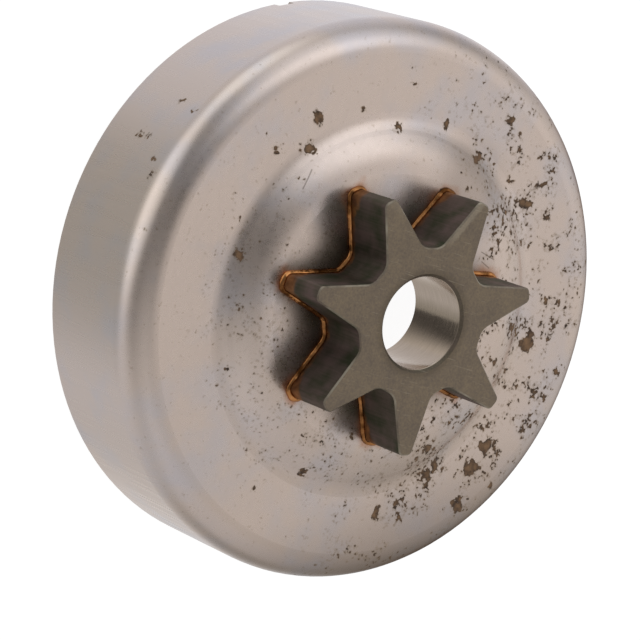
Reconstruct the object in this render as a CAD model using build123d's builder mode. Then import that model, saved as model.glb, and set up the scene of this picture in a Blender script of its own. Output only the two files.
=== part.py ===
from build123d import *
from math import asin, cos, pi, radians, sin, sqrt, tan
import os

# Chainsaw spur sprocket: a drawn steel clutch drum with a toothed sprocket brazed to its face.
# Millimetres and degrees. The axis is +Z and the drum stands on its open rim at z = 0.

# Drum, drawn from one flat sheet
drum_diameter = 80.0
sheet_thickness = 2.0
face_height = 20.7
corner_radius = 4.4
dome_slope = 33.0
dome_rise = 2.65
dome_base_radius = 4.2
dome_crown_radius = 9.8
seat_margin = 0.6
rim_break = 0.3

# Notch in the open rim
notch_width = 2.5
notch_depth = 1.6
notch_corner_radius = 0.35
notch_azimuth = -155.7

# Sprocket, with a spigot that passes through the drum
tooth_count = 7
first_tooth_azimuth = -90.0
tip_diameter = 37.15
tip_width = 1.95
tip_corner_radius = 0.8
root_diameter = 21.05
root_width = 6.5
root_fillet = 2.1
tooth_height = 8.3
tooth_edge_break = 0.2
spigot_shoulder = 1.0
spigot_clearance = 0.05
spigot_proud = 0.7
bore_diameter = 13.0
bore_chamfer = 0.45

# Copper bead that fills the corner between the teeth and the drum
bead_width = 0.55
bead_height = 0.45

# Worked out from the sizes above: the drum's seat is flat to a margin outside the tooth tips
drum_radius = drum_diameter / 2
tip_radius = tip_diameter / 2
root_radius = root_diameter / 2
spigot_radius = root_radius - spigot_shoulder
pilot_hole_radius = spigot_radius + spigot_clearance
seat_height = face_height + dome_rise
seat_radius = tip_radius + seat_margin
dome_top = seat_radius + dome_crown_radius * tan(radians(dome_slope / 2))
dome_base = dome_top + dome_rise / tan(radians(dome_slope))
spigot_length = sheet_thickness + spigot_proud
sprocket_length = tooth_height + spigot_length

# Half widths of a tooth, where its flanks leave the root circle, and the room for a root fillet
tip_half_width = tip_width / 2
root_half_width = root_width / 2
root_reach = sqrt(root_radius**2 - root_half_width**2)
root_room = root_radius * sin(pi / tooth_count - asin(root_half_width / root_radius))
root_round = min(root_fillet, 1.5 * root_room)

seat_plane = Plane.XY.offset(seat_height)
front_plane = seat_plane.offset(tooth_height)

# Drum: the sheet's outer line from the rim to the pilot hole, thickened inwards and turned about Z
with BuildPart() as clutch_drum:
    with BuildSketch(Plane.XZ):
        with BuildLine():
            FilletPolyline(
                (drum_radius, 0),
                (drum_radius, face_height),
                (dome_base, face_height),
                (dome_top, seat_height),
                (pilot_hole_radius, seat_height),
                radius=[corner_radius, dome_base_radius, dome_crown_radius],
            )
            offset(amount=sheet_thickness, side=Side.LEFT, closed=True)
        make_face()
    revolve(axis=Axis.Z)
    rim_edges = clutch_drum.edges().filter_by(GeomType.CIRCLE).group_by(Axis.Z)[0]
    chamfer(rim_edges, length=rim_break)
    # Notch: a slot cut outwards through the wall, with its two blind corners rounded
    outwards = (cos(radians(notch_azimuth)), sin(radians(notch_azimuth)), 0)
    inside_wall = drum_radius - 2 * sheet_thickness
    notch_origin = (inside_wall * outwards[0], inside_wall * outwards[1], 0)
    with BuildSketch(Plane(origin=notch_origin, x_dir=(0, 0, 1), z_dir=outwards)):
        RectangleRounded(2 * notch_depth, notch_width, notch_corner_radius)
    extrude(amount=3 * sheet_thickness, mode=Mode.SUBTRACT)
clutch_drum.part.label = "clutch_drum"

# Tooth outline: straight flanks that narrow outwards, rounded at the tips and at the roots
with BuildSketch(seat_plane) as tooth_outline:
    Circle(root_radius)
    with PolarLocations(0, tooth_count, start_angle=first_tooth_azimuth):
        Polygon(
            (0, -root_half_width),
            (root_reach, -root_half_width),
            (tip_radius, -tip_half_width),
            (tip_radius, tip_half_width),
            (root_reach, root_half_width),
            (0, root_half_width),
            align=None,
        )
    Circle(tip_radius, mode=Mode.INTERSECT)
    fillet(tooth_outline.vertices().group_by(SortBy.DISTANCE)[-1], radius=tip_corner_radius)
    fillet(tooth_outline.vertices().group_by(SortBy.DISTANCE)[0], radius=root_round)

# Sprocket: the teeth stand on the drum's seat and the spigot goes down through it
with BuildPart() as spur_sprocket:
    extrude(tooth_outline.sketch, amount=tooth_height)
    chamfer(spur_sprocket.faces().sort_by(Axis.Z)[-1].edges(), length=tooth_edge_break)
    with BuildSketch(seat_plane):
        Circle(spigot_radius)
    extrude(amount=-spigot_length)
    with BuildSketch(front_plane):
        Circle(bore_diameter / 2)
    extrude(amount=-sprocket_length, mode=Mode.SUBTRACT)
    bore_edges = spur_sprocket.edges().filter_by(
        lambda edge: edge.geom_type == GeomType.CIRCLE and abs(edge.radius - bore_diameter / 2) < 0.001
    )
    chamfer(bore_edges, length=bore_chamfer)
spur_sprocket.part.label = "spur_sprocket"

# Braze bead: a quarter-oval section carried round the tooth outline on the seat
bead_path = tooth_outline.sketch.faces()[0].outer_wire()
bead_heading = bead_path % 0
away_from_tooth = bead_heading.cross(Vector(0, 0, 1))
with BuildPart() as braze_bead:
    with BuildSketch(Plane(origin=bead_path @ 0, x_dir=away_from_tooth, z_dir=-bead_heading)):
        with BuildLine():
            EllipticalCenterArc((0, 0), bead_width, bead_height, start_angle=0, arc_size=90)
            Polyline((0, bead_height), (0, 0), (bead_width, 0))
        make_face()
    sweep(path=bead_path)
braze_bead.part.label = "braze_bead"

os.makedirs("parts", exist_ok=True)
export_step(clutch_drum.part, "parts/clutch_drum.step")
export_step(spur_sprocket.part, "parts/spur_sprocket.step")
export_step(braze_bead.part, "parts/braze_bead.step")
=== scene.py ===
from math import cos, hypot, pi, radians, sin, sqrt

import bpy
from mathutils import Matrix, Vector


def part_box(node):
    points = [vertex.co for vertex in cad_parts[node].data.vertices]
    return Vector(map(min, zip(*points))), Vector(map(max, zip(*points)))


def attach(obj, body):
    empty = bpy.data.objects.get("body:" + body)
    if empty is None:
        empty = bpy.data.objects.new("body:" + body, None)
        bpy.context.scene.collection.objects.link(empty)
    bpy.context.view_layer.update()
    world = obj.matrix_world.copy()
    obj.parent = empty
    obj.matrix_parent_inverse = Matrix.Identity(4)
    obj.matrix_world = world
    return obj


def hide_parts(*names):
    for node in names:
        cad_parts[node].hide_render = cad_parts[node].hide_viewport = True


# Chainsaw spur sprocket: a drawn steel clutch drum with a sintered sprocket brazed to its face.
# Metres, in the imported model's frame: the axis is +Z and the drum's open rim stands on z = 0.
# Patterns are given in millimetres, so each material first turns its coordinates to millimetres.

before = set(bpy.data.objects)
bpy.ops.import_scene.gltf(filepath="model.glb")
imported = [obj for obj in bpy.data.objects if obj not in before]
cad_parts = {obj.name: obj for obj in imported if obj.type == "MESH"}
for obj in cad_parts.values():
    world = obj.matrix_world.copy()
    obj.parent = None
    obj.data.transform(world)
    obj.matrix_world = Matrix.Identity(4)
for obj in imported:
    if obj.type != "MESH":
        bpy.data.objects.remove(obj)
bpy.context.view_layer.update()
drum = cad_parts["clutch_drum"]
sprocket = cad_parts["spur_sprocket"]
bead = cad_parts["braze_bead"]

MM_PER_M = 1000.0

# Heights and radii in millimetres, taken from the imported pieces
drum_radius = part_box("clutch_drum")[1].x * MM_PER_M
seat_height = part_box("clutch_drum")[1].z * MM_PER_M
tip_radius = -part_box("spur_sprocket")[0].y * MM_PER_M

# The sprocket's teeth and bore, in millimetres and degrees
tooth_count = 7
first_tooth_azimuth = -90.0
worn_tooth_azimuth = 167.1
tip_half_width = 0.975
root_half_width = 3.25
root_radius = 10.525
root_reach = sqrt(root_radius**2 - root_half_width**2)
bore_radius = 6.5

# The flank of a tooth that lies along +X: the direction that it faces, and how far out it lies
flank_length = hypot(tip_radius - root_reach, root_half_width - tip_half_width)
flank_out = (root_half_width - tip_half_width) / flank_length
flank_across = (tip_radius - root_reach) / flank_length
flank_offset = flank_out * root_reach + flank_across * root_half_width

# Rust on the face: azimuth, radius and size of each patch, in degrees and millimetres
face_rust = [
    (-170, 31.2, 0.35),
    (-168, 33.7, 0.3),
    (-166, 25.3, 0.7),
    (-154, 28.2, 0.5),
    (-139, 29.5, 1.1),
    (-133, 26.7, 1.1),
    (-130, 27.3, 0.4),
    (-124, 29.2, 0.5),
    (-124, 32.5, 0.35),
    (-108, 30.2, 0.25),
    (-103, 27.1, 0.25),
    (-93, 25.5, 0.75),
    (-77, 23.9, 0.4),
    (-69, 23.8, 0.5),
    (-57, 25.7, 0.45),
    (-29, 26.0, 0.25),
    (-21, 30.7, 0.25),
    (-20, 21.2, 0.4),
    (-12, 20.5, 0.35),
    (-9, 25.5, 0.65),
    (2, 18.3, 0.35),
    (22, 30.1, 0.85),
    (29, 31.8, 0.55),
    (41, 22.6, 0.5),
    (41, 27.5, 0.5),
    (44, 27.1, 0.45),
    (46, 34.9, 0.8),
    (49, 30.5, 0.4),
    (54, 22.6, 0.5),
    (54, 31.2, 1.1),
    (56, 36.4, 0.45),
    (61, 30.7, 1.35),
    (62, 24.4, 0.4),
    (67, 27.2, 0.4),
    (72, 32.1, 0.6),
    (78, 23.9, 0.4),
    (80, 35.5, 0.5),
    (83, 21.8, 0.6),
    (86, 32.6, 0.4),
    (87, 35.6, 0.5),
    (88, 25.7, 0.5),
    (92, 28.6, 1.4),
    (96, 23.6, 0.6),
    (98, 32.6, 0.4),
    (105, 30.2, 0.6),
    (135, 28.5, 0.85),
    (137, 31.7, 0.45),
    (144, 27.6, 0.6),
    (151, 30.5, 0.5),
    (152, 32.6, 0.5),
    (157, 33.1, 0.7),
    (160, 20.7, 0.6),
    (160, 25.3, 0.85),
    (176, 27.1, 0.6),
]

# Rust on the wall: azimuth, height and size of each patch
wall_rust = [
    (-118, 11.8, 0.6),
    (-117, 15.8, 0.5),
    (-109, 8.4, 0.6),
    (-109, 10.4, 0.45),
    (-105, 14.2, 0.75),
    (-102, 15.7, 0.6),
    (-101, 18.9, 0.3),
    (-92, 18.7, 0.35),
]

# The sides of the face where rust specks crowd, and where finer ones lie beside the sprocket
speck_azimuth = 90.0
pepper_azimuth = -36.87

# Darker brown on the face: the side of the edge that it covers, the side where the edge's glare is dulled,
# and its spot by the sprocket
browner_azimuth = 30.0
dull_glare_azimuth = 85.0
browner_spot = (157.0, 21.5)

# Scratches on the face: azimuth and radius of each end
face_scratches = [
    ((-129.5, 24.2), (-122.7, 23.2)),
    ((132.0, 17.4), (126.0, 19.0)),
    ((127.5, 17.0), (123.0, 18.0)),
]

# Camera: a long lens that looks down on the face, leaning so that the drum's axis points right
camera_place = (-0.01395, -0.27544, 0.36926)
camera_aim = (0.00427, -0.00320, 0.01356)
camera_lean = 110.68
lens_length = 179.9
sensor_width = 36.0

# Studio light: an even fill, and soft panels given by azimuth, elevation, spread and brightness.
# A panel with a brightness below zero is a dark card that takes light away.
fill_light = (0.56, 0.56, 0.56)
light_panels = [
    (178, 39, 40, (0.30, 0.34, 0.40)),
    (166, 53, 28, (0.33, 0.33, 0.33)),
    (260, -7, 40, (0.61, 0.63, 0.63)),
    (208, -9, 28, (0.51, 0.57, 0.61)),
    (140, -50, 60, (0.16, 0.18, 0.24)),
    (113, 50, 28, (0.12, 0.12, 0.13)),
    (85, 48, 45, (0.07, 0.06, 0.05)),
    (97, 12, 38, (0.13, 0.13, 0.13)),
    (20, 30, 40, (0.12, 0.13, 0.16)),
    (297, -40, 60, (0.08, 0.10, 0.14)),
    (322, 52, 28, (0.09, 0.09, 0.09)),
    (263, 37, 60, (-0.34, -0.34, -0.34)),
    (277, -48, 40, (-0.25, -0.26, -0.31)),
    (45, 12, 60, (-0.15, -0.16, -0.18)),
    (58, -52, 28, (0.17, 0.17, 0.17)),
    (17, -14, 25, (-0.10, -0.10, -0.10)),
    (120, -55, 30, (0.12, 0.12, 0.12)),
    (143, 40, 22, (0.14, 0.14, 0.14)),
    (140, -4, 24, (-0.18, -0.18, -0.18)),
    (235, 79, 30, (-0.10, -0.10, -0.10)),
    (153, 78, 28, (-0.26, -0.26, -0.26)),
]


def srgb(code):
    """A colour's linear values from its sRGB hex code."""
    parts = [int(code[i : i + 2], 16) / 255 for i in (1, 3, 5)]
    return [p / 12.92 if p <= 0.04045 else ((p + 0.055) / 1.055) ** 2.4 for p in parts] + [1]


def set_inputs(tree, node, inputs):
    """Sets a node's inputs. Each is a value, or the node or socket that it is linked from."""
    live = [socket for socket in node.inputs if socket.enabled]
    for key, value in inputs.items():
        socket = live[key] if isinstance(key, int) else next(s for s in live if s.name == key)
        if isinstance(value, bpy.types.Node):
            value = next(s for s in value.outputs if s.enabled)
        if isinstance(value, bpy.types.NodeSocket):
            tree.links.new(value, socket)
        else:
            socket.default_value = value


def add_node(tree, kind, settings, inputs):
    """Adds a node with its settings and its inputs."""
    node = tree.nodes.new("ShaderNode" + kind)
    for name, value in settings.items():
        setattr(node, name, value)
    set_inputs(tree, node, inputs)
    return node


def new_material(name):
    """An empty material with its shader, and the place of each point in millimetres."""
    material = bpy.data.materials.new(name)
    material.use_nodes = True
    tree = material.node_tree
    tree.nodes.clear()
    shader = add_node(tree, "BsdfPrincipled", {}, {})
    add_node(tree, "OutputMaterial", {}, {"Surface": shader})
    metres = add_node(tree, "TexCoord", {}, {}).outputs["Object"]
    place = add_node(tree, "VectorMath", {"operation": "SCALE"}, {0: metres, "Scale": MM_PER_M})
    return material, tree, shader, place


def polar_point(azimuth, radius, height=0.0):
    """A point from its azimuth in degrees, its radius and its height."""
    return Vector((radius * cos(radians(azimuth)), radius * sin(radians(azimuth)), height))


def polar_place(tree, place):
    """The radius of each point and its azimuth in radians."""
    parts = add_node(tree, "SeparateXYZ", {}, {0: place}).outputs
    azimuth = add_node(tree, "Math", {"operation": "ARCTAN2"}, {0: parts["Y"], 1: parts["X"]})
    flat = add_node(tree, "VectorMath", {"operation": "MULTIPLY"}, {0: place, 1: (1.0, 1.0, 0.0)})
    radius = add_node(tree, "VectorMath", {"operation": "LENGTH"}, {0: flat})
    return radius, azimuth


def upward_facing(tree):
    """How far each point faces up, from 0 on an upright wall to 1 on a level face."""
    normal = add_node(tree, "NewGeometry", {}, {}).outputs["Normal"]
    return add_node(tree, "SeparateXYZ", {}, {0: normal}).outputs["Z"]


def tooth_gap(tree, radius, azimuth):
    """How far each point lies outside the sprocket's tooth outline, in millimetres."""
    root_rounding = 1.5
    turned = add_node(
        tree, "Math", {"operation": "SUBTRACT"}, {0: azimuth, 1: radians(first_tooth_azimuth)}
    )
    fold = add_node(tree, "Math", {"operation": "PINGPONG"}, {0: turned, 1: pi / tooth_count})
    along = add_node(tree, "Math", {"operation": "COSINE"}, {0: fold})
    across = add_node(tree, "Math", {"operation": "SINE"}, {0: fold})
    out_share = add_node(tree, "Math", {"operation": "MULTIPLY"}, {0: along, 1: flank_out})
    facing = add_node(
        tree, "Math", {"operation": "MULTIPLY_ADD"}, {0: across, 1: flank_across, 2: out_share}
    )
    flank_gap = add_node(
        tree, "Math", {"operation": "MULTIPLY_ADD"}, {0: facing, 1: radius, 2: -flank_offset}
    )
    tip_gap = add_node(tree, "Math", {"operation": "SUBTRACT"}, {0: radius, 1: tip_radius})
    root_gap = add_node(tree, "Math", {"operation": "SUBTRACT"}, {0: radius, 1: root_radius})
    tooth = add_node(tree, "Math", {"operation": "MAXIMUM"}, {0: flank_gap, 1: tip_gap})
    return add_node(tree, "Math", {"operation": "SMOOTH_MIN"}, {0: tooth, 1: root_gap, 2: root_rounding})


def speck_depth(tree, place, spacing, largest, density):
    """How deep each point lies in specks, in millimetres: at most one to a cell, more where it is dense."""
    growth_rate = 3.0 * spacing
    cells = add_node(tree, "TexVoronoi", {}, {"Vector": place, "Scale": 1 / spacing}).outputs
    chance = add_node(tree, "SeparateColor", {}, {0: cells["Color"]})
    spare = add_node(tree, "Math", {"operation": "SUBTRACT"}, {0: density, 1: chance})
    growth = add_node(tree, "Math", {"operation": "MULTIPLY"}, {0: spare, 1: growth_rate})
    size = add_node(tree, "Math", {"operation": "MINIMUM"}, {0: growth, 1: largest})
    return add_node(
        tree, "Math", {"operation": "MULTIPLY_ADD"}, {0: cells["Distance"], 1: -spacing, 2: size}
    )


def patch_depth(tree, place, patches):
    """How deep each point lies in the nearest of the patches, in millimetres, each a centre and a size."""
    depth = -1.0
    for centre, size in patches:
        reach = add_node(tree, "VectorMath", {"operation": "DISTANCE"}, {0: place, 1: centre})
        inside = add_node(tree, "Math", {"operation": "SUBTRACT"}, {0: size, 1: reach})
        depth = add_node(tree, "Math", {"operation": "MAXIMUM"}, {0: inside, 1: depth})
    return depth


def scratch_gap(tree, place, scratches):
    """How far each point lies from the nearest scratch, in millimetres, each a straight line."""
    gap = 9.0
    for start, end in scratches:
        first = polar_point(*start)
        line = polar_point(*end) - first
        line_share = line / line.length_squared
        step = add_node(tree, "VectorMath", {"operation": "SUBTRACT"}, {0: place, 1: first})
        along = add_node(tree, "VectorMath", {"operation": "DOT_PRODUCT"}, {0: step, 1: line_share})
        share = add_node(tree, "Clamp", {}, {"Value": along})
        nearest = add_node(tree, "VectorMath", {"operation": "SCALE"}, {0: line, "Scale": share})
        reach = add_node(tree, "VectorMath", {"operation": "DISTANCE"}, {0: step, 1: nearest})
        gap = add_node(tree, "Math", {"operation": "MINIMUM"}, {0: reach, 1: gap})
    return gap


def sheet_tint(tree, place):
    """Colour of the bare sheet: warm, with broad cool patches."""
    patch_size = 8.0
    tint = add_node(tree, "TexNoise", {}, {"Vector": place, "Scale": 1 / patch_size, "Detail": 4.0})
    coolness = add_node(
        tree,
        "MapRange",
        {"interpolation_type": "SMOOTHSTEP"},
        {"Value": tint, "From Min": 0.42, "From Max": 0.72},
    )
    return add_node(
        tree,
        "Mix",
        {"data_type": "RGBA"},
        {"Factor": coolness, "A": srgb("#DCCBC0"), "B": srgb("#D3C9C7")},
    )


def heat_stain(tree, place, gap, under):
    """Orange stain over the colour under it, which spreads raggedly from the braze over the seat."""
    scorch_size = 2.5
    raggedness = 2.4
    scorch = add_node(tree, "TexNoise", {}, {"Vector": place, "Scale": 1 / scorch_size, "Detail": 3.0})
    ragged_gap = add_node(tree, "Math", {"operation": "MULTIPLY_ADD"}, {0: scorch, 1: raggedness, 2: gap})
    stain = add_node(
        tree,
        "MapRange",
        {"interpolation_type": "SMOOTHSTEP"},
        {"Value": ragged_gap, "From Min": 2.7, "From Max": 0.9, "To Max": 0.8},
    )
    return add_node(tree, "Mix", {"data_type": "RGBA"}, {"Factor": stain, "A": under, "B": srgb("#B4723E")})


def soot_and_painted_shade(tree, radius, gap, under):
    """Soot and painted shade over the colour under it: heat tint plus the shade of the hollows, in the gaps
    between the teeth and darkest against the braze.
    """
    reach = 19.5
    full_reach = 12.5
    gap_limit = 5.2
    # Painted shade: darker in the hollows between the teeth, deepest against the braze
    inwards = add_node(
        tree, "MapRange", {}, {"Value": radius, "From Min": reach, "From Max": full_reach, "To Max": 0.75}
    )
    against = add_node(
        tree,
        "MapRange",
        {"interpolation_type": "SMOOTHSTEP"},
        {"Value": gap, "From Min": gap_limit, "From Max": 0.5},
    )
    soot_and_shade = add_node(tree, "Math", {"operation": "MULTIPLY"}, {0: inwards, 1: against})
    return add_node(tree, "Mix", {"data_type": "RGBA"}, {"Factor": soot_and_shade, "A": under, "B": srgb("#372B22")})


def darker_brown_side(tree, place, upward, under):
    """Darker brown over the colour under it: on one side of the drum's edge, and faintly in a spot by the
    sprocket.
    """
    edge_start = 23.0
    edge_full = 45.0
    spot_radius = 9.5
    spot_full_radius = 3.0
    browner_way = polar_point(browner_azimuth, 1.0)
    spot_middle = polar_point(*browner_spot, seat_height)
    side = add_node(tree, "VectorMath", {"operation": "DOT_PRODUCT"}, {0: place, 1: browner_way})
    edge_browning = add_node(
        tree,
        "MapRange",
        {"interpolation_type": "SMOOTHSTEP"},
        {"Value": side, "From Min": edge_start, "From Max": edge_full, "To Max": 0.7},
    )
    reach = add_node(tree, "VectorMath", {"operation": "DISTANCE"}, {0: place, 1: spot_middle})
    spot_browning = add_node(
        tree,
        "MapRange",
        {"interpolation_type": "SMOOTHSTEP"},
        {"Value": reach, "From Min": spot_radius, "From Max": spot_full_radius, "To Max": 0.34},
    )
    thickness = add_node(tree, "Math", {"operation": "MAXIMUM"}, {0: edge_browning, 1: spot_browning})
    browning = add_node(tree, "Math", {"operation": "MULTIPLY"}, {0: thickness, 1: upward})
    return add_node(tree, "Mix", {"data_type": "RGBA"}, {"Factor": browning, "A": under, "B": srgb("#4E4238")})


def rust_patches(tree, place):
    """How deep each point lies in the listed rust patches: in any of them, and in those on the wall."""
    wander_size = 1.5
    wander_reach = (2.0, 2.0, 2.0)
    noise = add_node(tree, "TexNoise", {}, {"Vector": place, "Scale": 1 / wander_size, "Detail": 1.5})
    wander = add_node(
        tree, "VectorMath", {"operation": "SUBTRACT"}, {0: noise.outputs["Color"], 1: (0.5, 0.5, 0.5)}
    )
    wandered = add_node(
        tree, "VectorMath", {"operation": "MULTIPLY_ADD"}, {0: wander, 1: wander_reach, 2: place}
    )
    level = add_node(tree, "VectorMath", {"operation": "MULTIPLY"}, {0: wandered, 1: (1.0, 1.0, 0.0)})
    face_patches = [(polar_point(turn, reach), size) for turn, reach, size in face_rust]
    wall_patches = [(polar_point(turn, drum_radius, height), size) for turn, height, size in wall_rust]
    face_depth = patch_depth(tree, level, face_patches)
    wall_depth = patch_depth(tree, wandered, wall_patches)
    deepest = add_node(tree, "Math", {"operation": "MAXIMUM"}, {0: face_depth, 1: wall_depth})
    return deepest, wall_depth


def speck_density(tree, place, radius):
    """How thickly rust specks lie towards one side of the face, and fine pepper beside the sprocket."""
    crowd_size = 4.0
    speck_way = polar_point(speck_azimuth, 1.0)
    pepper_way = polar_point(pepper_azimuth, 1.0)
    crowd = add_node(tree, "TexNoise", {}, {"Vector": place, "Scale": 1 / crowd_size, "Detail": 3.0})

    side = add_node(tree, "VectorMath", {"operation": "DOT_PRODUCT"}, {0: place, 1: speck_way})
    thick = add_node(
        tree,
        "MapRange",
        {},
        {"Value": side, "From Min": -3.0, "From Max": 14.0, "To Min": 0.06, "To Max": 0.7},
    )
    margin = add_node(
        tree, "MapRange", {}, {"Value": radius, "From Min": 38.0, "From Max": 34.0, "To Min": 0.6}
    )
    crowded = add_node(tree, "MapRange", {}, {"Value": crowd, "From Min": 0.4, "From Max": 0.6})
    settled = add_node(tree, "Math", {"operation": "MULTIPLY"}, {0: thick, 1: margin})
    scatter = add_node(tree, "Math", {"operation": "MULTIPLY"}, {0: settled, 1: crowded})

    lower = add_node(tree, "VectorMath", {"operation": "DOT_PRODUCT"}, {0: place, 1: pepper_way})
    below = add_node(tree, "MapRange", {}, {"Value": lower, "From Min": -4.0, "From Max": 14.0})
    near = add_node(tree, "MapRange", {}, {"Value": radius, "From Min": 31.0, "From Max": 23.0})
    cluster = add_node(
        tree,
        "MapRange",
        {},
        {"Value": crowd, "From Min": 0.4, "From Max": 0.6, "To Min": 0.35, "To Max": 1.3},
    )
    beside = add_node(tree, "Math", {"operation": "MULTIPLY"}, {0: near, 1: below})
    pepper = add_node(tree, "Math", {"operation": "MULTIPLY"}, {0: beside, 1: cluster})
    return scatter, pepper


def rust_depth(tree, place, radius, upward):
    """How deep each point lies in rust, in millimetres: specks that merge into patches at their places."""
    speck_spacing = 0.75
    speck_limit = 0.17
    dust_spacing = 0.45
    dust_limit = 0.1
    stray_size = 0.5
    crust_size = 0.75
    stray_reach = (0.6, 0.6, 0.6)
    deepest, wall_depth = rust_patches(tree, place)
    scatter, pepper = speck_density(tree, place, radius)

    # Fine specks, a little out of round
    stray = add_node(tree, "TexNoise", {}, {"Vector": place, "Scale": 1 / stray_size, "Detail": 1.0})
    strayed = add_node(
        tree,
        "VectorMath",
        {"operation": "MULTIPLY_ADD"},
        {0: stray.outputs["Color"], 1: stray_reach, 2: place},
    )
    fine_density = add_node(tree, "Math", {"operation": "MULTIPLY_ADD"}, {0: pepper, 1: 0.24, 2: scatter})
    dust_density = add_node(tree, "Math", {"operation": "MULTIPLY"}, {0: pepper, 1: 0.32})
    fine = speck_depth(tree, strayed, speck_spacing, speck_limit, fine_density)
    dust = speck_depth(tree, strayed, dust_spacing, dust_limit, dust_density)
    pricks = add_node(tree, "Math", {"operation": "MAXIMUM"}, {0: fine, 1: dust})

    # Crust that grows where specks crowd and round each patch, which keeps a crumbly core
    patch = add_node(
        tree, "MapRange", {}, {"Value": deepest, "From Min": -0.5, "From Max": 0.6, "To Max": 1.05}
    )
    density = add_node(tree, "Math", {"operation": "ADD"}, {0: scatter, 1: patch})
    crust = add_node(tree, "TexNoise", {}, {"Vector": place, "Scale": 1 / crust_size, "Detail": 2.0})
    growth = add_node(tree, "Math", {"operation": "MULTIPLY_ADD"}, {0: density, 1: 0.35, 2: crust})
    ragged = add_node(tree, "Math", {"operation": "MULTIPLY_ADD"}, {0: growth, 1: 1.5, 2: -1.2})
    shrunk = add_node(tree, "Math", {"operation": "SUBTRACT"}, {0: deepest, 1: 1.0})
    core = add_node(tree, "Math", {"operation": "MULTIPLY_ADD"}, {0: stray, 1: 1.5, 2: shrunk})
    crusted = add_node(tree, "Math", {"operation": "MAXIMUM"}, {0: ragged, 1: core})
    specks = add_node(tree, "Math", {"operation": "MAXIMUM"}, {0: pricks, 1: crusted})

    # The wall rusts only round its own patches
    by_wall = add_node(tree, "MapRange", {}, {"Value": wall_depth, "From Min": -0.6, "From Max": -0.4})
    allowed = add_node(tree, "Math", {"operation": "MAXIMUM"}, {0: upward, 1: by_wall})
    barred = add_node(tree, "Math", {"operation": "SUBTRACT"}, {0: allowed, 1: 1.0})
    return add_node(tree, "Math", {"operation": "ADD"}, {0: specks, 1: barred})


def rust_brown(tree, place, depth):
    """Colour of the rust: mottled dark brown, paler towards the middle of a patch."""
    mottle_size = 0.9
    contrast = 1.8
    mottle = add_node(tree, "TexNoise", {}, {"Vector": place, "Scale": 1 / mottle_size, "Detail": 4.0})
    middle = add_node(
        tree,
        "MapRange",
        {},
        {"Value": depth, "From Min": 0.05, "From Max": 0.5, "To Min": -0.7, "To Max": -0.2},
    )
    paleness = add_node(tree, "Math", {"operation": "MULTIPLY_ADD"}, {0: mottle, 1: contrast, 2: middle})
    return add_node(
        tree,
        "Mix",
        {"data_type": "RGBA"},
        {"Factor": paleness, "A": srgb("#45352A"), "B": srgb("#987656")},
    )


def scratched_face(tree, place, under):
    """Dark scratches over the colour under them."""
    outer_reach = 0.12
    full_reach = 0.03
    level = add_node(tree, "VectorMath", {"operation": "MULTIPLY"}, {0: place, 1: (1.0, 1.0, 0.0)})
    gap = scratch_gap(tree, level, face_scratches)
    scratch = add_node(
        tree, "MapRange", {}, {"Value": gap, "From Min": outer_reach, "From Max": full_reach, "To Max": 0.6}
    )
    return add_node(
        tree, "Mix", {"data_type": "RGBA"}, {"Factor": scratch, "A": under, "B": srgb("#5F5143")}
    )


def edge_glare(tree, place, radius, upward):
    """Colour of the slanting glare: white, but dulled towards one side of the rounded edge."""
    edge_start = drum_radius - 3.0
    edge_full = drum_radius - 1.2
    glare_dull_start = 5.0
    glare_dull_full = 25.0
    dull_glare_way = polar_point(dull_glare_azimuth, 1.0)
    outermost = add_node(
        tree, "MapRange", {}, {"Value": radius, "From Min": edge_start, "From Max": edge_full}
    )
    side = add_node(tree, "VectorMath", {"operation": "DOT_PRODUCT"}, {0: place, 1: dull_glare_way})
    dull_side = add_node(tree, "MapRange", {}, {"Value": side, "From Min": glare_dull_start, "From Max": glare_dull_full})
    on_edge = add_node(tree, "Math", {"operation": "MULTIPLY"}, {0: outermost, 1: upward})
    glare_dulling = add_node(tree, "Math", {"operation": "MULTIPLY"}, {0: on_edge, 1: dull_side})
    return add_node(
        tree,
        "Mix",
        {"data_type": "RGBA"},
        {"Factor": glare_dulling, "A": srgb("#FFFFFF"), "B": srgb("#8F8278")},
    )


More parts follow.
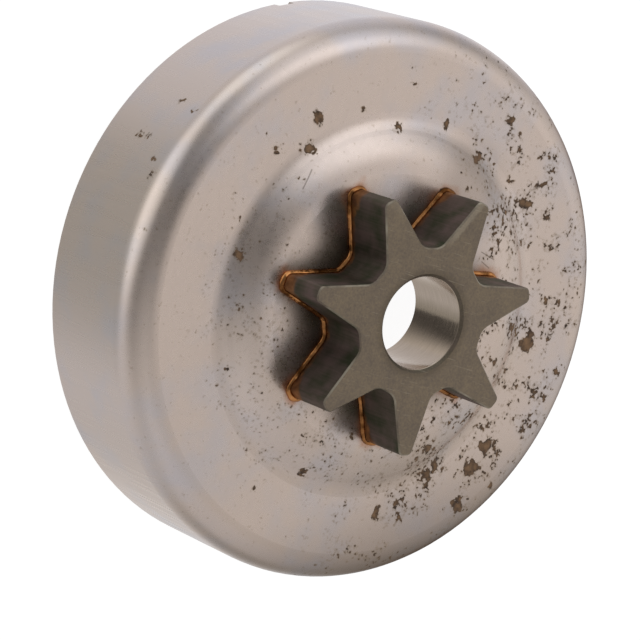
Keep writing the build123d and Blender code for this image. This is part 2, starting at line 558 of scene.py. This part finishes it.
def drawn_steel():
    """Mild steel sheet, deep drawn and left bare.

    It gives a warm satin sheen with cool patches, faint draw marks up the wall, and brown rust specks.
    """
    material, tree, shader, place = new_material("deep_drawn_mild_steel")
    radius, azimuth = polar_place(tree, place)
    facing = upward_facing(tree)
    upward = add_node(tree, "MapRange", {}, {"Value": facing, "From Min": 0.05, "From Max": 0.3})

    # Colour of the sheet under its stains, with painted shade in the gaps between the teeth
    gap = tooth_gap(tree, radius, azimuth)
    bare = sheet_tint(tree, place)
    heated = heat_stain(tree, place, gap, bare)
    sooted_and_shaded = soot_and_painted_shade(tree, radius, gap, heated)
    side_browned = darker_brown_side(tree, place, upward, sooted_and_shaded)

    # Rust, with a thin brown halo round it
    depth = rust_depth(tree, place, radius, upward)
    rust = add_node(tree, "MapRange", {}, {"Value": depth, "From Min": 0.0, "From Max": 0.05})
    halo = add_node(tree, "MapRange", {}, {"Value": depth, "From Min": -0.2, "From Max": 0.0, "To Max": 0.4})
    browned = add_node(
        tree, "Mix", {"data_type": "RGBA"}, {"Factor": halo, "A": side_browned, "B": srgb("#8F7A5C")}
    )
    scratched = scratched_face(tree, place, browned)
    brown = rust_brown(tree, place, depth)
    colour = add_node(tree, "Mix", {"data_type": "RGBA"}, {"Factor": rust, "A": scratched, "B": brown})

    # Draw marks, long up the wall and short across it, drawn coarser than they are so that they show
    mark_width = 0.8
    mark_stretch = (1.0, 1.0, 0.06)
    stretched = add_node(tree, "VectorMath", {"operation": "MULTIPLY"}, {0: place, 1: mark_stretch})
    marks = add_node(tree, "TexNoise", {}, {"Vector": stretched, "Scale": 1 / mark_width, "Detail": 4.0})
    sheen = add_node(tree, "MapRange", {}, {"Value": marks, "To Min": 0.22, "To Max": 0.34})
    roughness = add_node(tree, "Mix", {}, {"Factor": rust, "A": sheen, "B": 0.85})
    relief = add_node(tree, "Math", {"operation": "MULTIPLY_ADD"}, {0: rust, 1: 0.6, 2: marks})
    bump = add_node(tree, "Bump", {}, {"Strength": 0.013, "Distance": 0.0002, "Height": relief})

    metal = add_node(tree, "Math", {"operation": "SUBTRACT"}, {0: 1.0, 1: rust})
    glare = edge_glare(tree, place, radius, upward)
    finish = {"Base Color": colour, "Metallic": metal, "Roughness": roughness, "Normal": bump}
    set_inputs(tree, shader, finish)
    set_inputs(tree, shader, {"Specular Tint": glare})
    return material


def front_skin(tree, place, radius, grain, cloud):
    """Colour of the sprocket's front: olive grey, with a ring of painted shade round the bore where its
    rounded edge turns from the light, and fine pale nicks.
    """
    bore_shade_reach = bore_radius + 1.8
    bore_shade_full = bore_radius + 0.3
    nick_width = 0.14
    nick_length = 3.0
    nick_slant = 35.0
    shade = add_node(tree, "Math", {"operation": "MULTIPLY_ADD"}, {0: cloud, 1: 0.6, 2: grain})
    shade_share = add_node(tree, "MapRange", {}, {"Value": shade, "From Min": 0.55, "From Max": 1.05})
    olive = add_node(
        tree,
        "Mix",
        {"data_type": "RGBA"},
        {"Factor": shade_share, "A": srgb("#82766A"), "B": srgb("#988974")},
    )
    # Painted shade: a darker ring round the bore's rounded edge
    bore_edge_shade = add_node(
        tree,
        "MapRange",
        {"interpolation_type": "SMOOTHSTEP"},
        {"Value": radius, "From Min": bore_shade_reach, "From Max": bore_shade_full, "To Max": 0.4},
    )
    bore_shaded = add_node(
        tree, "Mix", {"data_type": "RGBA"}, {"Factor": bore_edge_shade, "A": olive, "B": srgb("#5C5246")}
    )
    slanted = add_node(
        tree,
        "Mapping",
        {},
        {
            "Vector": place,
            "Rotation": (0.0, 0.0, radians(nick_slant)),
            "Scale": (1 / nick_width, 1 / nick_length, 1.0),
        },
    )
    nicks = add_node(tree, "TexNoise", {}, {"Vector": slanted, "Scale": 1.0, "Detail": 1.0})
    nick_share = add_node(
        tree, "MapRange", {}, {"Value": nicks, "From Min": 0.68, "From Max": 0.78, "To Max": 0.4}
    )
    return add_node(
        tree, "Mix", {"data_type": "RGBA"}, {"Factor": nick_share, "A": bore_shaded, "B": srgb("#C4B9A4")}
    )


def flank_skin(tree, place):
    """Colour of the flanks: greenish and brown heat tints, with die marks drawn coarse enough to show."""
    tint_size = 3.5
    mark_width = 0.3
    mark_stretch = (1.0, 1.0, 0.05)
    stretched = add_node(tree, "VectorMath", {"operation": "MULTIPLY"}, {0: place, 1: mark_stretch})
    die_marks = add_node(tree, "TexNoise", {}, {"Vector": stretched, "Scale": 1 / mark_width, "Detail": 3.0})
    heat = add_node(tree, "TexNoise", {}, {"Vector": place, "Scale": 1 / tint_size, "Detail": 3.0})
    tinge = add_node(tree, "Math", {"operation": "MULTIPLY_ADD"}, {0: die_marks, 1: 0.35, 2: heat})
    tinge_share = add_node(tree, "MapRange", {}, {"Value": tinge, "From Min": 0.5, "From Max": 0.85})
    return add_node(
        tree,
        "Mix",
        {"data_type": "RGBA"},
        {"Factor": tinge_share, "A": srgb("#505542"), "B": srgb("#7E6E69")},
    )


def rubbed_edges(tree, place, radius, facing, flat, grain, cloud):
    """How far each point is rubbed pale: in places along the front's edges, and along one tooth's flank."""
    bore_margin = bore_radius + 0.8
    bore_clear = bore_radius + 1.2
    band_start = flank_offset - 0.9
    band_full = flank_offset - 0.5
    band_root = root_radius + 2.0
    outer = add_node(tree, "MapRange", {}, {"Value": facing, "From Min": 0.3, "From Max": 0.6})
    inner = add_node(tree, "MapRange", {}, {"Value": facing, "From Min": 0.98, "From Max": 0.85})
    edge = add_node(tree, "Math", {"operation": "MULTIPLY"}, {0: outer, 1: inner})
    past_bore = add_node(
        tree, "MapRange", {}, {"Value": radius, "From Min": bore_margin, "From Max": bore_clear}
    )
    rubs = add_node(
        tree, "MapRange", {}, {"Value": cloud, "From Min": 0.4, "From Max": 0.65, "To Max": 0.8}
    )
    patchy = add_node(tree, "Math", {"operation": "MULTIPLY"}, {0: rubs, 1: past_bore})
    edge_share = add_node(tree, "Math", {"operation": "MULTIPLY"}, {0: edge, 1: patchy})

    # The worn tooth's band, which keeps to the front and starts beyond the root
    tooth_way = polar_point(worn_tooth_azimuth, 1.0)
    flank_way = flank_out * tooth_way + flank_across * polar_point(worn_tooth_azimuth + 90.0, 1.0)
    depth = add_node(tree, "VectorMath", {"operation": "DOT_PRODUCT"}, {0: place, 1: flank_way})
    ragged = add_node(tree, "Math", {"operation": "MULTIPLY_ADD"}, {0: grain, 1: 0.5, 2: depth})
    band = add_node(tree, "MapRange", {}, {"Value": ragged, "From Min": band_start, "From Max": band_full})
    outward = add_node(tree, "VectorMath", {"operation": "DOT_PRODUCT"}, {0: place, 1: tooth_way})
    beyond = add_node(
        tree,
        "MapRange",
        {},
        {"Value": outward, "From Min": root_radius, "From Max": band_root, "To Max": 0.3},
    )
    band_on_front = add_node(tree, "Math", {"operation": "MULTIPLY"}, {0: band, 1: flat})
    band_share = add_node(tree, "Math", {"operation": "MULTIPLY"}, {0: band_on_front, 1: beyond})
    return add_node(tree, "Math", {"operation": "MAXIMUM"}, {0: edge_share, 1: band_share})


def copper_stain(tree, place, radius, under):
    """Copper over the colour under it, which ran up the foot of each tooth and further at the tips."""
    creep_size = 1.6
    creep_reach = 1.6
    tip_start = tip_radius - 3.0
    tip_reach = 1.8
    stain_end = -seat_height - 0.4
    stain_full = 0.6 - seat_height
    height = add_node(tree, "SeparateXYZ", {}, {0: place}).outputs["Z"]
    creep = add_node(tree, "TexNoise", {}, {"Vector": place, "Scale": 1 / creep_size, "Detail": 3.0})
    further = add_node(
        tree,
        "MapRange",
        {},
        {"Value": radius, "From Min": tip_start, "From Max": tip_radius, "To Max": tip_reach},
    )
    climb = add_node(tree, "Math", {"operation": "MULTIPLY_ADD"}, {0: creep, 1: creep_reach, 2: further})
    crest = add_node(tree, "Math", {"operation": "SUBTRACT"}, {0: climb, 1: height})
    stain = add_node(
        tree,
        "MapRange",
        {"interpolation_type": "SMOOTHSTEP"},
        {"Value": crest, "From Min": stain_end, "From Max": stain_full, "To Max": 0.75},
    )
    brightness = add_node(tree, "MapRange", {}, {"Value": creep, "From Min": 0.35, "From Max": 0.65})
    copper = add_node(
        tree,
        "Mix",
        {"data_type": "RGBA"},
        {"Factor": brightness, "A": srgb("#7F5029"), "B": srgb("#BC8552")},
    )
    return add_node(tree, "Mix", {"data_type": "RGBA"}, {"Factor": stain, "A": under, "B": copper})


def sintered_steel():
    """Sintered steel, steam treated and ground in the bore.

    It gives a matte olive-grey grain, pale worn edges, copper stains at the foot and a bright bore.
    """
    material, tree, shader, place = new_material("steam_treated_sintered_steel")
    radius = polar_place(tree, place)[0]
    facing = upward_facing(tree)

    # Grain of the pressed powder, drawn coarser than it is so that it shows, and broad cloudy shades
    grain_size = 0.3
    cloud_size = 4.0
    grain = add_node(tree, "TexNoise", {}, {"Vector": place, "Scale": 1 / grain_size, "Detail": 4.0})
    cloud = add_node(tree, "TexNoise", {}, {"Vector": place, "Scale": 1 / cloud_size, "Detail": 3.0})
    front = front_skin(tree, place, radius, grain, cloud)
    flank = flank_skin(tree, place)
    flat = add_node(tree, "MapRange", {}, {"Value": facing, "From Min": 0.3, "From Max": 0.9})
    skin = add_node(tree, "Mix", {"data_type": "RGBA"}, {"Factor": flat, "A": flank, "B": front})
    worn = rubbed_edges(tree, place, radius, facing, flat, grain, cloud)
    rubbed = add_node(tree, "Mix", {"data_type": "RGBA"}, {"Factor": worn, "A": skin, "B": srgb("#BDB3A0")})
    coppered = copper_stain(tree, place, radius, rubbed)

    # Ground bore, with marks round it that are drawn coarse enough to show
    ring_width = 0.25
    ring_stretch = (0.12, 0.12, 1.0)
    bore_outside = bore_radius + 0.08
    bore_inside = bore_radius + 0.03
    hooped = add_node(tree, "VectorMath", {"operation": "MULTIPLY"}, {0: place, 1: ring_stretch})
    rings = add_node(tree, "TexNoise", {}, {"Vector": hooped, "Scale": 1 / ring_width, "Detail": 3.0})
    bore = add_node(
        tree, "MapRange", {}, {"Value": radius, "From Min": bore_outside, "From Max": bore_inside}
    )
    ground = add_node(
        tree,
        "Mix",
        {"data_type": "RGBA"},
        {"Factor": rings, "A": srgb("#B3A290"), "B": srgb("#CBB9A7")},
    )
    colour = add_node(tree, "Mix", {"data_type": "RGBA"}, {"Factor": bore, "A": coppered, "B": ground})
    matte = add_node(tree, "MapRange", {}, {"Value": worn, "To Min": 0.58, "To Max": 0.38})
    polish = add_node(tree, "MapRange", {}, {"Value": rings, "To Min": 0.12, "To Max": 0.2})
    roughness = add_node(tree, "Mix", {}, {"Factor": bore, "A": matte, "B": polish})
    relief = add_node(tree, "Mix", {}, {"Factor": bore, "A": grain, "B": rings})
    bump = add_node(tree, "Bump", {}, {"Strength": 0.12, "Distance": 0.0002, "Height": relief})
    finish = {"Base Color": colour, "Metallic": 1.0, "Roughness": roughness, "Normal": bump}
    set_inputs(tree, shader, finish)
    return material


def braze_copper():
    """Copper braze, melted and run into the corner: glossy orange with stretches of brown oxide."""
    material, tree, shader, place = new_material("copper_braze")
    oxide_size = 2.4
    oxide = add_node(tree, "TexNoise", {}, {"Vector": place, "Scale": 1 / oxide_size, "Detail": 4.0})
    share = add_node(tree, "MapRange", {}, {"Value": oxide, "From Min": 0.37, "From Max": 0.63})
    colour = add_node(
        tree,
        "Mix",
        {"data_type": "RGBA"},
        {"Factor": share, "A": srgb("#CC8E58"), "B": srgb("#5C381B")},
    )
    roughness = add_node(tree, "MapRange", {}, {"Value": share, "To Min": 0.14, "To Max": 0.34})
    set_inputs(tree, shader, {"Base Color": colour, "Metallic": 1.0, "Roughness": roughness})
    return material


def braze_run():
    """The braze as it set: an uneven run that swells and thins round the teeth, fatter at their tips."""
    merge_distance = 0.00001
    mesh_size = 0.00009
    flank_swell = 0.45
    tip_length = 2.0
    waves = {"swell": (0.0022, 0.0005, 0.48), "ripple": (0.0008, 0.00012, 0.5)}
    run = bpy.data.objects.new("braze_run", bead.data.copy())
    bpy.context.scene.collection.objects.link(run)
    bpy.ops.object.select_all(action="DESELECT")
    bpy.context.view_layer.objects.active = run
    run.select_set(True)
    bpy.ops.object.mode_set(mode="EDIT")
    bpy.ops.mesh.select_all(action="SELECT")
    bpy.ops.mesh.remove_doubles(threshold=merge_distance)
    bpy.ops.mesh.normals_make_consistent(inside=False)
    bpy.ops.object.mode_set(mode="OBJECT")
    remesh = run.modifiers.new("fine_mesh", "REMESH")
    remesh.mode = "VOXEL"
    remesh.voxel_size = mesh_size
    bpy.ops.object.modifier_apply(modifier=remesh.name)

    # The swell is full at the tooth tips and less along the flanks
    group = run.vertex_groups.new(name="swell")
    for vertex in run.data.vertices:
        reach = hypot(vertex.co.x, vertex.co.y) * MM_PER_M
        share = min(max((reach - tip_radius + tip_length) / tip_length, 0.0), 1.0)
        group.add([vertex.index], flank_swell + (1.0 - flank_swell) * share, "REPLACE")

    # Each wave has its length, its height and its middle level
    for name, (length, height, middle) in waves.items():
        texture = bpy.data.textures.new("braze_" + name, "CLOUDS")
        texture.noise_scale = length
        texture.noise_depth = 1
        displace = run.modifiers.new(name, "DISPLACE")
        displace.texture = texture
        displace.texture_coords = "LOCAL"
        displace.strength = height
        displace.mid_level = middle
        displace.vertex_group = group.name
        bpy.ops.object.modifier_apply(modifier=displace.name)
    soften = run.modifiers.new("soften", "SMOOTH")
    soften.factor = 0.5
    soften.iterations = 4
    bpy.ops.object.modifier_apply(modifier=soften.name)
    bpy.ops.object.shade_smooth()
    run.data.materials.clear()
    run.data.materials.append(braze_copper())
    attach(run, "root")
    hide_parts("braze_bead")


def white_paper():
    """Matte white paper with a faint glow, which gives an even white floor."""
    material, tree, shader, place = new_material("white_paper")
    paper = {"Base Color": srgb("#898989"), "Roughness": 0.9, "Specular IOR Level": 0.0}
    set_inputs(tree, shader, paper)
    set_inputs(tree, shader, {"Emission Color": srgb("#FFFFFF"), "Emission Strength": 0.92})
    return material


def studio_sweep():
    """The floor, white and faintly glowing, which curves up into a wall far behind the object."""
    floor_radius = 1.5
    wall_steps = ((0.1, 1.15), (0.3, 1.12), (1.6, 1.05))
    bpy.ops.object.select_all(action="DESELECT")
    bpy.ops.mesh.primitive_circle_add(vertices=96, radius=floor_radius, fill_type="NGON")
    sweep = bpy.context.object
    sweep.name = "studio_sweep"
    bpy.ops.object.mode_set(mode="EDIT")
    bpy.ops.mesh.select_mode(type="EDGE")
    bpy.ops.mesh.select_all(action="SELECT")
    bpy.ops.mesh.region_to_loop()
    for rise, growth in wall_steps:
        bpy.ops.mesh.extrude_edges_move(TRANSFORM_OT_translate={"value": (0, 0, rise)})
        bpy.ops.transform.resize(value=(growth, growth, 1), center_override=(0, 0, 0))
    bpy.ops.object.mode_set(mode="OBJECT")
    sweep.data.materials.append(white_paper())
    sweep.visible_diffuse = False
    sweep.visible_glossy = False
    sweep.visible_transmission = False
    sweep.visible_shadow = False


def painted_shadow_glow():
    """Glowing card that paints the shadow on the floor inside the drum: it glows from one edge to the other,
    dark to pale.
    """
    pale_edge = -13.0
    dark_edge = 8.0
    across_way = (0.82, -0.57, 0.0)
    material, tree, shader, place = new_material("painted_shadow_glow")
    across = add_node(tree, "VectorMath", {"operation": "DOT_PRODUCT"}, {0: place, 1: across_way})
    glow = add_node(
        tree,
        "MapRange",
        {"interpolation_type": "SMOOTHSTEP"},
        {"Value": across, "From Min": pale_edge, "From Max": dark_edge, "To Min": 0.7, "To Max": 0.09},
    )
    set_inputs(tree, shader, {"Base Color": srgb("#000000"), "Specular IOR Level": 0.0})
    set_inputs(tree, shader, {"Emission Color": srgb("#FFFFFF"), "Emission Strength": glow})
    return material


def painted_shadow_card():
    """Painted shadow: a glowing card on the floor inside the drum, which only the bore reflects, standing in
    for the shaded floor there: dark at one edge, then paler.
    """
    card_width = 0.026
    card_middle = (-0.013, -0.016, 0.0005)
    card_turn = radians(-28)
    card_shift = (-0.0015, 0.0063, 0)
    bpy.ops.object.select_all(action="DESELECT")
    bpy.ops.mesh.primitive_plane_add(size=card_width, location=card_middle)
    card = bpy.context.object
    card.name = "painted_shadow_card"
    bpy.ops.object.transform_apply(location=True, rotation=False, scale=False)
    bpy.ops.object.mode_set(mode="EDIT")
    bpy.ops.mesh.select_all(action="SELECT")
    bpy.ops.transform.rotate(value=card_turn, orient_axis="Z", center_override=(0, 0, 0))
    bpy.ops.transform.translate(value=card_shift)
    bpy.ops.object.mode_set(mode="OBJECT")
    card.data.materials.append(painted_shadow_glow())
    card.visible_camera = False
    card.visible_diffuse = False
    card.visible_transmission = False
    card.visible_shadow = False


def studio_light(fill, panels):
    """Soft light from all round: an even fill, broad panels with soft edges, and dark cards."""
    world = bpy.data.worlds.new("studio_light")
    bpy.context.scene.world = world
    world.use_nodes = True
    tree = world.node_tree
    tree.nodes.clear()
    direction = add_node(tree, "TexCoord", {}, {}).outputs["Generated"]
    glow = fill
    for azimuth, elevation, spread, brightness in panels:
        towards = polar_point(azimuth, cos(radians(elevation)), sin(radians(elevation)))
        facing = add_node(tree, "VectorMath", {"operation": "DOT_PRODUCT"}, {0: direction, 1: towards})
        panel = add_node(
            tree,
            "MapRange",
            {"interpolation_type": "SMOOTHSTEP"},
            {"Value": facing, "From Min": cos(radians(spread)), "From Max": 1.0},
        )
        glow = add_node(
            tree, "VectorMath", {"operation": "MULTIPLY_ADD"}, {0: panel, 1: brightness, 2: glow}
        )
    light = add_node(tree, "VectorMath", {"operation": "MAXIMUM"}, {0: glow, 1: (0.0, 0.0, 0.0)})
    background = add_node(tree, "Background", {}, {"Color": light})
    add_node(tree, "OutputWorld", {}, {"Surface": background})


def studio_camera():
    """The camera, at the photograph's viewing angle."""
    data = bpy.data.cameras.new("camera")
    data.lens = lens_length
    data.sensor_width = sensor_width
    camera = bpy.data.objects.new("camera", data)
    bpy.context.scene.collection.objects.link(camera)
    view = Vector(camera_aim) - Vector(camera_place)
    turn = view.to_track_quat("-Z", "Y").to_matrix() @ Matrix.Rotation(radians(camera_lean), 3, "Z")
    camera.matrix_world = Matrix.Translation(camera_place) @ turn.to_4x4()
    bpy.context.scene.camera = camera


drum.material_slots[0].material = drawn_steel()
sprocket.material_slots[0].material = sintered_steel()
braze_run()

studio_sweep()
painted_shadow_card()
studio_light(fill_light, light_panels)
studio_camera()
bpy.context.scene.view_settings.view_transform = "Standard"
